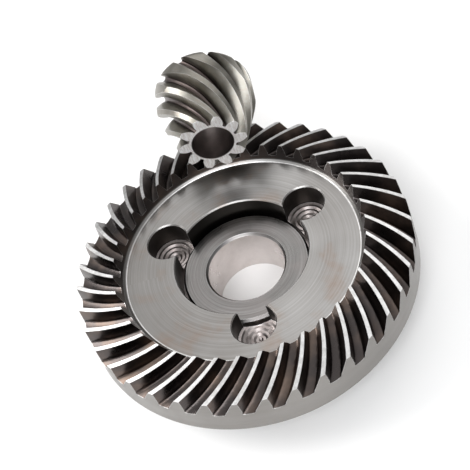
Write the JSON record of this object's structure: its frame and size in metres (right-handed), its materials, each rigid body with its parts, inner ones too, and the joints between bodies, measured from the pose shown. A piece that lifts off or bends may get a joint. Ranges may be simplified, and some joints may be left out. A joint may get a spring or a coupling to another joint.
{
  "type": "bevel gear pair",
  "caption": "Spiral bevel gear pair: a large crown gear on a plain hub bush, meshing at right angles with a small bored pinion.",
  "frame": {"origin": "centre of the hub bush's bore at the crown gear's back face", "axes": "+Z along the crown gear's axis, out of its toothed side; +Y along the pinion's axis, from its small end to its large end; +X completes the right-handed frame"},
  "size_m": [0.0778, 0.0841, 0.0396],
  "materials": {
    "crown_steel": "turned and ground steel, dark tooth flanks",
    "hub_steel": "turned steel",
    "pinion_steel": "dark ground flanks, bright cut end face"
  },
  "bodies": {
    "hub": {"crown_hub": "hub_steel"},
    "crown": {"crown_gear": "crown_steel"},
    "pinion": {"pinion": "pinion_steel"}
  },
  "joints": [
    {"name": "crown_spin", "type": "hinge", "parent": "hub", "child": "crown", "pos_m": [0, 0, 0], "axis": [0, 0, 1], "continuous": true},
    {"name": "pinion_spin", "type": "hinge", "parent": "hub", "child": "pinion", "pos_m": [0, 0.035, 0.02761], "axis": [0, 1, 0], "continuous": true}
  ],
  "couplings": [
    {"joint": "pinion_spin", "follows": "crown_spin", "ratio": 3.9}
  ]
}
